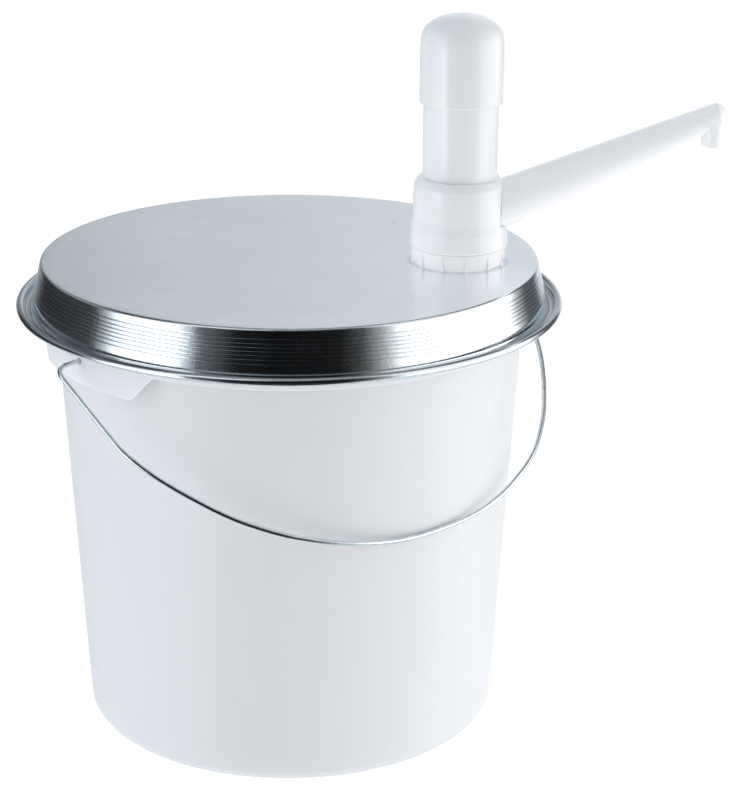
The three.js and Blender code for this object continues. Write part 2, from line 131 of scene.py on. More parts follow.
def spin(name, profile, segments=96, steps=5, angles=None, shape=None):
    """Turns a profile about Z. shape(angle, r, z) may move a point at each angle."""
    outline = rounded(profile, steps)
    if angles is None:
        angles = [2 * pi * k / segments for k in range(segments)]
    count, verts, rows, faces = len(angles), [], [], []
    for r, z in outline:
        if r == 0:
            rows.append([len(verts)] * count)
            verts.append((0, 0, z))
            continue
        rows.append(range(len(verts), len(verts) + count))
        for a in angles:
            ring_r, ring_z = shape(a, r, z) if shape else (r, z)
            verts.append((ring_r * cos(a), ring_r * sin(a), ring_z))
    on_axis = outline[0][0] == 0 and outline[-1][0] == 0
    for i in range(len(rows) - 1 if on_axis else len(rows)):
        low, high = rows[i], rows[(i + 1) % len(rows)]
        for k in range(count):
            after = (k + 1) % count
            quad = [low[k], low[after], high[after], high[k]]
            quad = [v for j, v in enumerate(quad) if v != quad[j - 1]]
            if len(quad) > 2:
                faces.append(quad)
    # outward faces whichever way the profile was drawn
    pairs = zip(outline, outline[1:] + outline[:1])
    if sum(p[0] * q[1] - q[0] * p[1] for p, q in pairs) < 0:
        faces = [face[::-1] for face in faces]
    return raw(name, verts, faces)


def frustum(low, high, segments, matrix):
    """A plain cone or cylinder between two (radius, z) ends."""
    return place(spin("frustum", [(0, low[1]), low, high, (0, high[1])], segments), matrix)


# dressed wire ends: (distance in from the end, size), both in wire radii
WIRE_END = [(0.0, 0.72), (0.18, 0.93), (0.4, 1.0)]


def tube(name, path, radius, sides):
    """A round wire along a path of points, with dressed ends."""
    path = np.asarray(path, float)
    tangents = np.gradient(path, axis=0)
    tangents /= np.linalg.norm(tangents, axis=1)[:, None]
    first = tangents[0]
    normal = np.array([0, 0, 1.0]) if abs(first[2]) < 0.9 else np.array([1.0, 0, 0])
    rings = []
    for point, tangent in zip(path, tangents):
        normal = normal - (normal @ tangent) * tangent
        normal /= np.linalg.norm(normal)
        rings.append((point, tangent, normal, np.cross(tangent, normal)))
    stations = [(rings[0], inset, size) for inset, size in WIRE_END]
    stations += [(ring, 0.0, 1.0) for ring in rings[1:-1]]
    stations += [(rings[-1], -inset, size) for inset, size in WIRE_END[::-1]]
    verts, faces = [], []
    for (point, tangent, normal, side), inset, size in stations:
        centre = point + tangent * radius * inset
        for k in range(sides):
            a = 2 * pi * k / sides
            verts.append(centre + radius * size * (cos(a) * normal + sin(a) * side))
    last = (len(stations) - 1) * sides
    for start in range(0, last, sides):
        for k in range(sides):
            a, b = start + k, start + (k + 1) % sides
            faces.append([a, b, b + sides, a + sides])
    centre = len(verts)
    verts += [path[0], path[-1]]
    for k in range(sides):
        after = (k + 1) % sides
        faces.append([centre, after, k])
        faces.append([centre + 1, last + k, last + after])
    return raw(name, verts, faces)


def block(x, y, z, matrix):
    corners = [(matrix @ move(i * x / 2, j * y / 2, k * z / 2)).to_translation()
               for k in (-1, 1) for j in (-1, 1) for i in (-1, 1)]
    faces = [[0, 2, 3, 1], [4, 5, 7, 6], [0, 1, 5, 4], [2, 6, 7, 3], [0, 4, 6, 2], [1, 3, 7, 5]]
    return raw("block", corners, faces)


def apply_modifiers(ob):
    graph = bpy.context.evaluated_depsgraph_get()
    mesh = bpy.data.meshes.new_from_object(ob.evaluated_get(graph))
    ob.modifiers.clear()
    old = ob.data
    ob.data = mesh
    bpy.data.meshes.remove(old)


def boolean(ob, others, operation):
    """Joins or cuts with other solids, which are then thrown away."""
    for other in others:
        mod = ob.modifiers.new("boolean", "BOOLEAN")
        mod.operation = operation
        mod.solver = "EXACT"
        mod.object = other
        apply_modifiers(ob)
        bpy.data.objects.remove(other)
    return ob


def centripetal(points, per_span):
    """A smooth curve through the points, per_span steps from each to the next."""
    points = np.asarray(points, float)
    curve = []
    for i in range(len(points) - 1):
        p1, p2 = points[i], points[i + 1]
        p0 = points[i - 1] if i else 2 * points[0] - points[1]
        p3 = points[i + 2] if i + 2 < len(points) else 2 * points[-1] - points[-2]
        d0, d1, d2 = [max(1e-4, np.linalg.norm(b - a) ** 0.5)
                      for a, b in ((p0, p1), (p1, p2), (p2, p3))]
        leave = ((p1 - p0) / d0 - (p2 - p0) / (d0 + d1) + (p2 - p1) / d1) * d1
        arrive = ((p2 - p1) / d1 - (p3 - p1) / (d1 + d2) + (p3 - p2) / d2) * d1
        for k in range(per_span):
            t = k / per_span
            curve.append(p1 + leave * t + (-3 * p1 + 3 * p2 - 2 * leave - arrive) * t * t
                         + (2 * p1 - 2 * p2 + leave + arrive) * t ** 3)
    curve.append(points[-1])
    return np.array(curve)


def resample(path, step):
    lengths = np.linalg.norm(np.diff(path, axis=0), axis=1)
    travelled = np.concatenate([[0], np.cumsum(lengths)])
    stops = np.linspace(0, travelled[-1], int(travelled[-1] / step) + 1)
    return np.stack([np.interp(stops, travelled, path[:, k]) for k in range(3)], 1)


# ---------------------------------------------------------------- node helpers
class Nodes:
    """Builds the node tree of a material or world; colours are given without alpha."""

    def __init__(self, owner):
        owner.use_nodes = True
        self.tree = owner.node_tree
        self.tree.nodes.clear()

    def add(self, kind, inputs=None, **props):
        node = self.tree.nodes.new(kind)
        for key, value in props.items():
            setattr(node, key, value)
        self.fill(node, inputs or {})
        return node

    def fill(self, node, inputs):
        for key, value in inputs.items():
            socket = node.inputs[key]
            if isinstance(value, bpy.types.NodeSocket):
                self.tree.links.new(value, socket)
            else:
                socket.default_value = (*value, 1) if socket.type == "RGBA" else value

    def calc(self, operation, a, b=0.0, clamp=False):
        node = self.add("ShaderNodeMath", {0: a, 1: b, 2: 0.0},
                        operation=operation, use_clamp=clamp)
        return node.outputs[0]

    def plus(self, a, b):
        return self.calc("ADD", a, b)

    def minus(self, a, b):
        return self.calc("SUBTRACT", a, b)

    def times(self, a, b):
        return self.calc("MULTIPLY", a, b)

    def largest(self, a, b):
        return self.calc("MAXIMUM", a, b)

    def length(self, x, y):
        return self.calc("SQRT", self.plus(self.times(x, x), self.times(y, y)))

    def average(self, a, b, share=0.5):
        """share is the part that a takes."""
        return self.plus(self.times(a, share), self.times(b, 1 - share))

    def fade(self, value, start, end, low=0.0, high=1.0):
        """Goes smoothly from low to high as value goes from start to end."""
        inputs = {0: value, 1: start, 2: end, 3: low, 4: high}
        return self.add("ShaderNodeMapRange", inputs, interpolation_type="SMOOTHSTEP").outputs[0]

    def spread(self, noise, low=0.0, high=1.0):
        """Stretches the middle of a noise's range over low to high."""
        return self.fade(noise, 0.3, 0.7, low, high)

    def mix(self, fac, a, b, blend="MIX"):
        node = self.add("ShaderNodeMix", data_type="RGBA", blend_type=blend)
        self.fill(node, {0: fac, 6: a, 7: b})
        return node.outputs[2]

    def split(self, vector):
        return self.add("ShaderNodeSeparateXYZ", {0: vector}).outputs

    def join(self, x, y, z):
        return self.add("ShaderNodeCombineXYZ", {0: x, 1: y, 2: z}).outputs[0]

    def coordinates(self, output="Object"):
        return self.add("ShaderNodeTexCoord").outputs[output]

    def noise(self, where, scale=1.0, detail=3.0, rough=0.5, stretch=None):
        if stretch:
            inputs = {0: where, 1: stretch}
            where = self.add("ShaderNodeVectorMath", inputs, operation="MULTIPLY").outputs[0]
        inputs = {"Vector": where, "Scale": scale, "Detail": detail, "Roughness": rough}
        return self.add("ShaderNodeTexNoise", inputs).outputs[0]

    def bumps(self, *layers):
        """Layers of (height, strength, distance in metres), each on top of the one before."""
        normal = None
        for height, strength, distance in layers:
            inputs = {"Height": height, "Strength": strength, "Distance": distance}
            if normal is not None:
                inputs["Normal"] = normal
            normal = self.add("ShaderNodeBump", inputs).outputs[0]
        return normal


def material(name):
    mat = bpy.data.materials.new(name)
    nodes = Nodes(mat)
    output = nodes.add("ShaderNodeOutputMaterial")
    shader = nodes.add("ShaderNodeBsdfPrincipled")
    nodes.fill(output, {0: shader.outputs[0]})
    return mat, nodes, shader


def emit(mat, nodes, shader, tint, strength):
    """A faint glow that is not sampled as a light."""
    nodes.fill(shader, {"Emission Color": tint, "Emission Strength": strength})
    mat.cycles.emission_sampling = "NONE"


# ---------------------------------------------------------------- materials
def plastic(name, light, dark, roughness, subsurface, peel, flow, corner_shade_reach, corner_shade_depth,
            painted_reflection_lift=0.0, glow=0.0, painted_flap_light=0.0):
    """Moulded plastic, mottled from light to dark.

    peel is the strength of the fine bumps and flow the scale of the broad ones.
    corner_shade_reach (metres) and corner_shade_depth set the painted shade in corners.
    painted_reflection_lift is a painted glow seen only in reflections, which lifts it in the
    lid's reflection; glow is a painted glow standing in for light passing through a thin wall,
    and painted_flap_light is painted light on the ear flaps that lifts them out of the shade
    under the lid's bead.
    """
    mat, nodes, shader = material(name)
    here = nodes.coordinates()
    # painted light: a glow seen only in reflections, and an even painted glow for a thin wall
    if painted_reflection_lift or glow:
        glossy = nodes.add("ShaderNodeLightPath").outputs["Is Glossy Ray"]
        strength = nodes.plus(nodes.times(glossy, painted_reflection_lift), glow)
        emit(mat, nodes, shader, (1.0, 0.985, 0.975), strength)
    if painted_flap_light:
        # painted light that lifts the ear flaps out of the shade under the lid's bead,
        # only outside the wall, and between the flaps' lower edge and the rim
        x, y, z = nodes.split(here)
        outside = nodes.fade(nodes.length(x, y), 0.1310, 0.1335)
        level = nodes.times(nodes.fade(z, 0.204, 0.209), nodes.fade(z, 0.2365, 0.2320))
        strength = nodes.times(nodes.times(outside, level), painted_flap_light)
        emit(mat, nodes, shader, (0.97, 0.99, 1.02), strength)
    cloud = nodes.noise(here, scale=9.0, detail=4.0, rough=0.55)
    streak = nodes.noise(here, stretch=(60, 60, 5))
    color = nodes.mix(nodes.spread(nodes.average(cloud, streak, share=0.65)), dark, light)
    # painted shade: the occlusion node darkens the base colour in corners
    occlusion = nodes.add("ShaderNodeAmbientOcclusion", {"Distance": corner_shade_reach}, samples=8)
    open_sky = occlusion.outputs["AO"]
    painted_corner_shade = nodes.calc("MULTIPLY", nodes.minus(1.0, open_sky), corner_shade_depth, clamp=True)
    fine = nodes.noise(here, scale=420.0, detail=2.0)
    pits = nodes.noise(here, scale=260.0, rough=0.55)
    waves = nodes.noise(here, scale=flow, detail=2.0, rough=0.4, stretch=(1, 1, 0.12))
    nodes.fill(shader, {
        "Base Color": nodes.mix(painted_corner_shade, color, (0.50, 0.56, 0.62)),
        "Roughness": nodes.spread(nodes.average(fine, cloud),
                                  low=roughness - 0.05, high=roughness + 0.06),
        "IOR": 1.49,
        "Subsurface Weight": subsurface,
        "Subsurface Radius": (1.0, 1.0, 1.0),
        "Subsurface Scale": 0.004,
        "Normal": nodes.bumps((pits, peel, 0.00012), (waves, 0.16, 0.0005))})
    return mat


def lid_metal():
    """Rolled satin sheet on top, brighter spun metal on the skirt."""
    mat, nodes, shader = material("lid_steel_look")
    normal = nodes.add("ShaderNodeNewGeometry").outputs["Normal"]
    here = nodes.coordinates()
    x, y, z = nodes.split(here)
    radius = nodes.length(x, y)
    facing_up = nodes.split(normal)[2]
    top = nodes.fade(facing_up, 0.80, 0.97)

    # rolled grain of the flat sheet, faint cross scuffs, handling marks
    grain = nodes.noise(here, rough=0.6, stretch=(26, 1500, 60))
    coarse_grain = nodes.noise(here, rough=0.6, stretch=(8, 420, 20))
    cloud = nodes.noise(here, scale=14.0, detail=4.0, rough=0.6)
    # each kind of mark keeps the peaks of a fine noise, inside the patches of a broad one
    spots = nodes.noise(here, scale=190.0, detail=2.0)
    spot_patches = nodes.noise(here, scale=24.0, detail=2.0)
    spots = nodes.times(nodes.fade(spots, 0.70, 0.76), nodes.fade(spot_patches, 0.52, 0.60))
    turn = {"Vector": here, "Axis": (0, 0, 1), "Angle": 0.9}
    turned_here = nodes.add("ShaderNodeVectorRotate", turn).outputs[0]
    scratches = nodes.noise(turned_here, detail=1.0, stretch=(60, 2600, 60))
    scratch_patches = nodes.noise(here, scale=17.0, detail=2.0)
    scratches = nodes.times(nodes.fade(scratches, 0.735, 0.765),
                            nodes.fade(scratch_patches, 0.55, 0.62))
    marks = nodes.largest(spots, scratches)

    sheet = nodes.mix(nodes.spread(cloud), (0.742, 0.786, 0.812), (0.787, 0.824, 0.847))
    sheet = nodes.mix(nodes.times(nodes.spread(coarse_grain), 0.25), sheet, (0.800, 0.835, 0.850))
    sheet = nodes.mix(nodes.times(marks, 0.45), sheet, (0.46, 0.50, 0.53))
    mottle = nodes.fade(nodes.noise(here, scale=300.0, rough=0.6), 0.35, 0.65)
    skirt = nodes.mix(mottle, (0.77, 0.835, 0.87), (0.86, 0.905, 0.93))
    # painted contact shadow: a thin dark line on the sheet round the pump's nut
    from_pump = nodes.length(nodes.minus(x, PUMP_X * MM), y)
    painted_contact_shadow = nodes.fade(from_pump, 0.0285, 0.0265, high=0.32)
    sheet = nodes.mix(painted_contact_shadow, sheet, (0.30, 0.33, 0.35))
    # painted shade in the rolled grooves: darker in their valleys
    groove_shade = 0.0
    for height in GROOVE_HEIGHTS:
        from_groove = nodes.calc("ABSOLUTE", nodes.minus(z, height * MM))
        groove_shade = nodes.largest(groove_shade, nodes.fade(from_groove, 0.00062, 0.00014))
    skirt = nodes.mix(nodes.times(groove_shade, 0.45), skirt, (0.14, 0.17, 0.19))
    # the gutter between skirt and bead holds shadow
    gutter = nodes.times(nodes.fade(radius, 0.1405, 0.1425), nodes.fade(radius, 0.1492, 0.1478))
    gutter = nodes.times(gutter, nodes.fade(facing_up, 0.10, 0.40))
    sheet, skirt = [nodes.mix(nodes.times(gutter, 0.62), color, (0.16, 0.19, 0.21))
                    for color in (sheet, skirt)]

    # painted light: a glow that only diffuse rays see stands in for the light the satin top
    # throws back up on the pump standing on it
    diffuse = nodes.add("ShaderNodeLightPath").outputs["Is Diffuse Ray"]
    strength = nodes.times(nodes.times(diffuse, top),
                           nodes.fade(from_pump, 0.026, 0.033, low=0.52, high=0.70))
    emit(mat, nodes, shader, (1.04, 1.0, 0.985), strength)

    sheet_rough = nodes.spread(nodes.average(grain, cloud), low=0.20, high=0.27)
    skirt_rough = nodes.spread(nodes.noise(here, scale=500.0, rough=0.6), low=0.075, high=0.13)
    roughness = nodes.add("ShaderNodeMix", {0: top, 2: skirt_rough, 3: sheet_rough},
                          data_type="FLOAT")

    # spun skirt: fine turning lines, and a little orange peel in the drawn metal
    line_stretch = 1.0
    across = nodes.join(nodes.times(z, line_stretch), nodes.times(radius, line_stretch), 0.0)
    lines = nodes.noise(across, scale=2600.0, detail=2.0)
    peel = nodes.noise(here, scale=700.0, rough=0.6)
    dents = nodes.noise(here, scale=120.0, detail=2.0)

    def on_skirt(strength):
        return nodes.times(nodes.minus(1.0, top), strength)

    nodes.fill(shader, {
        "Base Color": nodes.mix(top, skirt, sheet),
        "Metallic": 1.0,
        "Anisotropic": nodes.times(top, 0.72),
        "Tangent": nodes.join(-0.0952, 0.9955, 0.0),
        "Roughness": roughness.outputs[0],
        "Normal": nodes.bumps(
            (lines, on_skirt(0.10), 0.00005), (peel, on_skirt(0.35), 0.00006),
            (dents, on_skirt(0.10), 0.0003), (grain, nodes.times(top, 0.16), 0.00004),
            (marks, nodes.times(top, -0.5), 0.0001))})
    return mat


def bright_metal(name, dark, light, roughness):
    mat, nodes, shader = material(name)
    here = nodes.coordinates()
    mottle = nodes.noise(here, scale=240.0, detail=4.0, rough=0.6)
    fine = nodes.noise(here, scale=900.0, detail=2.0)
    nodes.fill(shader, {
        "Base Color": nodes.mix(nodes.spread(mottle), dark, light),
        "Metallic": 1.0,
        "Roughness": nodes.spread(fine, low=roughness - 0.04, high=roughness + 0.06),
        "Normal": nodes.bumps((mottle, 0.25, 0.00008), (fine, 0.15, 0.00003))})
    return mat


def rubber():
    mat, nodes, shader = material("seal_rubber_look")
    mottle = nodes.noise(nodes.coordinates(), scale=300.0, detail=4.0, rough=0.6)
    nodes.fill(shader, {
        "Base Color": nodes.mix(nodes.spread(mottle), (0.012, 0.012, 0.014), (0.03, 0.03, 0.034)),
        "Roughness": nodes.spread(mottle, low=0.55, high=0.75),
        "Normal": nodes.bumps((mottle, 0.3, 0.0001))})
    return mat


PUMP_PLASTIC = dict(light=(0.920, 0.930, 0.945), dark=(0.905, 0.917, 0.935), roughness=0.20,
                    subsurface=0.10, peel=0.03, flow=55.0, corner_shade_reach=0.003, corner_shade_depth=0.12)
LOOKS = {   # by material slot, but for the thin-walled spout arm
    "bucket_pp": plastic(
        "bucket_pp_look", light=(0.878, 0.897, 0.920), dark=(0.852, 0.874, 0.902),
        roughness=0.40, subsurface=0.20, peel=0.08, flow=30.0, corner_shade_reach=0.010,
        corner_shade_depth=0.24, painted_flap_light=0.065),
    # both pump looks carry a painted glow seen only in reflections; the arm's adds a painted glow
    # all over
    "pump_pp": plastic("pump_pp_look", painted_reflection_lift=0.125, **PUMP_PLASTIC),
    "spout_arm": plastic("pump_pp_thin_glow_look", painted_reflection_lift=0.15, glow=0.080, **PUMP_PLASTIC),
    "lid_steel": lid_metal(),
    "wire_steel": bright_metal("wire_steel_look", dark=(0.60, 0.66, 0.69),
                               light=(0.76, 0.81, 0.83), roughness=0.14),
    "ball_steel": bright_metal("ball_steel_look", dark=(0.70, 0.72, 0.74),
                               light=(0.80, 0.82, 0.84), roughness=0.09),
    "seal_rubber": rubber(),
}
SLOTS = {s["node"]: s["material_slot"] for s in frame["record"]["subparts"]}
BODIES = {node: body for body, members in frame["record"]["behaviour"]["bodies"].items()
          for node in members}


def finish(ob, node, angle=32.0):
    """Scales a millimetre mesh to metres, dresses it and hangs it on its CAD body.

    Edges sharper than angle stay sharp.
    """
    mesh = ob.data
    mesh.transform(Matrix.Scale(MM, 4))
    mesh.materials.clear()
    mesh.materials.append(LOOKS["spout_arm" if node == "spout_arm" else SLOTS[node]])
    for polygon in mesh.polygons:
        polygon.material_index = 0
    mesh.shade_smooth()
    mesh.set_sharp_from_angle(angle=radians(angle))
    mesh.update()
    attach(ob, BODIES[node])
    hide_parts(node)
    return ob


# ---------------------------------------------------------------- bucket
EAR_AZIMUTH = 43.34
EARS = (EAR_AZIMUTH, EAR_AZIMUTH + 180)
EAR_R, EAR_HOLE_Z = 134.2, 227      # where the handle passes through the ear flaps
EAR_HOLE_RADIUS = 1.9
EAR_HALF_ANGLE, EAR_SLANT = 23.0, 5.5   # half the flap's width, and its slanting end
EAR_DROP = 13.9                     # how far a flap hangs below the skirt
SKIRT_Z = 229.0                     # lower edge of the skirt between the flaps
WALL = 1.7


def wall_r(z):
    return 116.14 + 0.05572 * (z - 10)


# r, z, fillet: outside from the foot up, over the rim, then down the inside
BUCKET_PROFILE = [
    [0, 0], [14.0, 0, 0.4], [15.0, 1.2, 0.4], [99.6, 1.2, 1.0], [101.2, 0.0, 0.5],
    [108.5, 0.0, 2.0], [113.4, 0.6, 2.4], [115.75, 4.6, 4.0], [wall_r(12), 12, 6.0],
    [wall_r(120), 120], [wall_r(226), 226], [wall_r(257.6), 257.6, 0.8], [132.9, 257.6, 0.8],
    [132.43, 230.6], [132.42, 229.8], [132.4, SKIRT_Z, 0.5], [134.2, SKIRT_Z, 0.6],
    [134.21, 229.8], [134.22, 230.6], [134.6, 257.6, 1.6], [134.0, 260.7, 1.8],
    [129.0, 260.7, 1.0], [wall_r(256.4) - WALL, 256.4, 1.5], [wall_r(12) - WALL, 12, 4.0],
    [112.4, 5.4, 3.2], [107.5, 3.4, 2.5], [0, 3.4],
]


def ear_drop(angle):
    """How far the skirt hangs at this angle: flaps with slanting ends and rounded corners."""
    foot, shoulder = 0.11, 0.17     # rounding at the slant's upper and lower end
    best = 0.0
    for azimuth in EARS:
        off = abs((math.degrees(angle) - azimuth + 180) % 360 - 180)
        t = (EAR_HALF_ANGLE - off) / EAR_SLANT
        drop = max(0.0, min(1.0, t))
        if abs(t) < foot:
            drop = (t + foot) ** 2 / (4 * foot)
        if abs(t - 1) < shoulder:
            drop = 1 - (1 + shoulder - t) ** 2 / (4 * shoulder)
        best = max(best, drop)
    return best * EAR_DROP


def hang_skirt(angle, r, z):
    """Moves a skirt point down and out where an ear flap hangs."""
    if r <= 132.0 or z >= 230.2:
        return r, z
    # the lower edge takes the whole drop, the ring above it a part
    z -= ear_drop(angle) * (1.0 if z < 229.65 else 0.58)
    flare = max(0.0, min(1.0, (SKIRT_Z - z) / 8.0))
    return r + 1.65 * flare + 0.02 * max(0.0, 221.0 - z), z


def bucket_angles():
    """Even steps, with finer ones at the slanting ends of the flaps."""
    angles = {round(360 * k / 224, 4) for k in range(224)}
    for azimuth in EARS:
        for side in (-1, 1):
            angles |= {round((azimuth + side * (15.8 + 0.22 * k)) % 360, 4) for k in range(37)}
    angles = sorted(angles)
    return [radians(a) for i, a in enumerate(angles) if a - angles[i - 1] > 0.08 or i == 0]


def web(azimuth):
    """A rib between the wall and a flap."""
    edge = [(127.2, 216.4), (134.9, 216.4), (134.9, 221.0), (133.4, 229.0), (133.6, 258.5),
            (127.2, 258.5)]     # r, z
    verts = [(turn_z(azimuth) @ move(r, y, z)).to_translation()
             for y in (-0.8, 0.8) for r, z in edge]
    n = len(edge)
    faces = [list(range(n)), list(range(2 * n - 1, n - 1, -1))]
    faces += [[i, i + n, (i + 1) % n + n, (i + 1) % n] for i in range(n)]
    return raw("web", verts, faces)


bucket = spin("bucket_moulding", BUCKET_PROFILE, steps=6, angles=bucket_angles(),
              shape=hang_skirt)
boolean(bucket, [web(azimuth + off) for azimuth in EARS for off in (-9, 9)], "UNION")
boolean(bucket, [
    frustum((EAR_HOLE_RADIUS, -6), (EAR_HOLE_RADIUS, 6), 28,
            turn_z(azimuth) @ move(EAR_R, 0, EAR_HOLE_Z) @ turn_y(90))
    for azimuth in EARS], "DIFFERENCE")
finish(bucket, "bucket", 34)


# ---------------------------------------------------------------- wire handle
HANDLE_SWING = 54.8     # from hanging straight down, out towards +X and -Y
# distance along the line through the ear holes, distance out from that line
HANDLE_WIRE = [
    [130.4, 0], [134.2, 0.2], [141, 0.8], [145.6, 1.9], [148.3, 4.2], [149.0, 8],
    [148.4, 12.5], [147.5, 17.6], [146.4, 24.1], [144.2, 37.2], [142.0, 50.2], [140.7, 57],
    [138.7, 63], [136.0, 69], [130.7, 78.8], [124.0, 88.8], [116.6, 98.4], [108.8, 107.7],
    [100.2, 116.3], [90.6, 124.0], [80.3, 131.1], [69.0, 137.2], [57.1, 142.6],
    [44.0, 147.0], [30.9, 150.2], [16.9, 152.3], [3.0, 152.9], [-10, 152.3],
    [-22.1, 151.4], [-34.6, 149.4], [-47.2, 146.1], [-59.5, 141.8], [-71.5, 136.2],
    [-84.0, 129.6], [-95.9, 121.4], [-106.4, 111.8], [-116.1, 101.4], [-124.5, 90.3],
    [-132.1, 78.8], [-138.9, 66.9], [-144.3, 54.8], [-148.2, 43.5], [-151, 30],
    [-152.4, 18], [-152, 9.8], [-150.4, 4.8], [-146.8, 2.1], [-141, 0.9], [-134.2, 0.2],
    [-130.4, 0],
]


def heading(azimuth):
    return np.array([cos(radians(azimuth)), sin(radians(azimuth)), 0])


def wire_handle():
    swing = radians(HANDLE_SWING)
    along = heading(EAR_AZIMUTH + 180)
    out = heading(EAR_AZIMUTH - 90) * sin(swing) + np.array([0, 0, -cos(swing)])
    pivot = np.array([0, 0, EAR_HOLE_Z])
    path = centripetal([pivot + along * a + out * w for a, w in HANDLE_WIRE], per_span=14)
    return tube("wire_handle", resample(path, step=1.0), radius=1.25, sides=18)


finish(wire_handle(), "bail_handle", 50)


# ---------------------------------------------------------------- lid
SKIRT_TOP, SKIRT_FOOT = (136.55, 258.6), (140.4, 243.2)     # r, z
GROOVE_DEPTH, GROOVE_HALF_WIDTH = 0.115, 0.58
PUMP_HOLE_R = 19.2


def grooved_skirt():
    """The skirt's outer face from the top down, with its rolled grooves."""
    (top_r, top_z), (foot_r, foot_z) = SKIRT_TOP, SKIRT_FOOT
    points = []
    for z in np.arange(257.9, 243.8, -0.12):
        r = top_r + (top_z - z) * (foot_r - top_r) / (top_z - foot_z)
        for height in GROOVE_HEIGHTS:
            off = abs(z - height)
            if off < GROOVE_HALF_WIDTH:
                r -= GROOVE_DEPTH * 0.5 * (1 + cos(pi * off / GROOVE_HALF_WIDTH))
        points.append([r, float(z)])
    return points


# r, z, fillet: the underside outward, the bead, then up the skirt and over the top
LID_PROFILE = [
    [0, 261.0], [133.4, 261.0, 0.8], [135.3, 259.7, 0.8], [139.6, 243.0, 2.0],
    [140.15, 239.0, 2.2], [141.3, 235.4, 1.6], [144.6, 235.1, 0.8], [146.0, 236.0, 0.5],
    *arc(147.5, 238.3, 2.1, -84, 160, 12),
    [145.1, 237.6, 0.4], [144.3, 236.1, 0.6], [142.6, 236.0, 1.0], [141.1, 239.2, 2.0],
    *grooved_skirt()[::-1],
    [136.5, 258.9, 1.0], [135.9, 261.8, 2.4], [129.0, 261.8], [0, 261.8],
]
lid = spin("spun_lid", LID_PROFILE, segments=288, steps=8)
boolean(lid, [frustum((PUMP_HOLE_R, 255), (PUMP_HOLE_R, 268), 72, PUMP)], "DIFFERENCE")
finish(lid, "lid", 40)


# ---------------------------------------------------------------- pump below the head
# Profiles are r, z, fillet about the pump's own axis.
BALL_R = 6.35


def turned(name, node, profile, matrix=PUMP):
    finish(place(spin(name, profile), matrix), node)


def ball(name, node, z):
    profile = [(0, z - BALL_R), *arc(0, z, BALL_R, -84, 85, 6), (0, z + BALL_R)]
    finish(place(spin(name, profile, segments=48), PUMP), node, 60)


turned("cylinder", "pump_cylinder", [
    [16, 176, 0.3], [18.4, 176, 0.4], [18.4, 256.2, 0.5], [25, 256.2, 0.5], [25, 258.8, 0.5],
    [18.4, 258.8, 0.3], [18.4, 274.8, 0.2], [17.2, 275.1, 0.1], [17.2, 277.3, 0.1],
    [18.4, 277.6, 0.2], [18.4, 280.6, 0.6], [17.8, 281, 0.3], [16.4, 281, 0.4]])
turned("gasket", "lid_gasket", [
    [PUMP_HOLE_R, 259.1, 0.3], [24.8, 259.1, 0.4], [24.8, 260.7, 0.4], [PUMP_HOLE_R, 260.7, 0.3]])
turned("swivel_seal", "swivel_o_ring", arc(17.95, 276.2, 0.66))
turned("foot_valve", "foot_valve_housing", [
    [9.3, 150, 0.3], [11.5, 150, 0.6], [11.5, 171.5, 1.2], [18.4, 171.5, 0.6],
    [18.4, 175.7, 0.4], [15.7, 175.7], [15.7, 183, 0.2], [14.4, 183.4, 0.2],
    [14.4, 185.8, 0.2], [15.7, 186.2, 0.2], [15.7, 191.4, 0.5], [15.2, 192, 0.3], [11, 192],
    [11, 187], [8.5, 187], [8.5, 175.5], [5, 172], [5, 166.4], [9.3, 166.4]])
turned("foot_valve_seal", "foot_valve_o_ring", arc(15.15, 184.6, 0.7))

# plate with three round holes over the lower ball
guard = spin("ball_guard", [[0, 187.3], [10.7, 187.3, 0.3], [10.7, 189.5, 0.3], [0, 189.5]],
             segments=72, steps=3)
boolean(guard, [frustum((2.4, 180), (2.4, 195), 32, turn_z(120 * i) @ move(6.2, 0, 0))
                for i in range(3)], "DIFFERENCE")
finish(place(guard, PUMP), "inlet_ball_cage")
ball("inlet_valve_bead", "inlet_ball", 176.05)

# pipe with a slanting lower end
suction = spin("suction_pipe", [[6.6, 14], [9, 14], [9, 166.1, 0.5], [6.6, 166.1, 0.4]],
               segments=72, steps=4)
boolean(suction, [block(60, 60, 20, move(0, 0, 12) @ turn_y(28))], "DIFFERENCE")
finish(place(suction, PUMP), "suction_tube")


# grip nut: panels lean in towards the lid between thin upright fins
def fin(azimuth):
    ob = block(3.4, 1.2, 8.6, turn_z(azimuth) @ move(24.05, 0, 266.45))
    bevel = ob.modifiers.new("bevel", "BEVEL")
    bevel.width, bevel.segments = 0.28, 3
    apply_modifiers(ob)
    return ob


nut = spin("ring_nut", [[18.9, 262.1, 0.2], [24.3, 262.1, 0.35], [25.75, 270.5, 0.3],
                        [25.75, 271.35, 0.2], [18.9, 271.35, 0.2]], segments=144, steps=4)
boolean(nut, [fin(13.8 + 30 * i) for i in range(12)], "UNION")
finish(place(nut, PUMP), "clamp_nut")


# ---------------------------------------------------------------- spout
# The arm starts on the pump's axis and rises outward; distances u run along it.
ARM_TILT, ARM_Z, ARM_LENGTH = 22.9, 284.35, 147.3   # length runs to the nozzle's axis
ROOT_R, TIP_R, ROOT_U = 13.0, 6.7, 24
ARM_END = ARM_LENGTH + 14           # before it is trimmed
ARM_AXIS = move(0, 0, ARM_Z) @ turn_y(90 - ARM_TILT)
FACE_X, FACE_Z, FACE_HEIGHT = 21.5, 283.3, 26.7     # flat on the housing that meets the arm
NOZZLE_X = ARM_LENGTH * cos(radians(ARM_TILT))
NOZZLE_Z = ARM_Z + ARM_LENGTH * sin(radians(ARM_TILT))
NOZZLE = move(NOZZLE_X, 0, 0)
TIP_ROUND_R, TIP_ROUND_Z = 7.0, 342.1


def arm_r(u):
    return ROOT_R + (TIP_R - ROOT_R) / (ARM_LENGTH - ROOT_U) * (u - ROOT_U)


def inward_of(x):
    """A block filling the pump's side of the plane at x."""
    return block(60, 80, 120, move(x - 30, 0, 300))


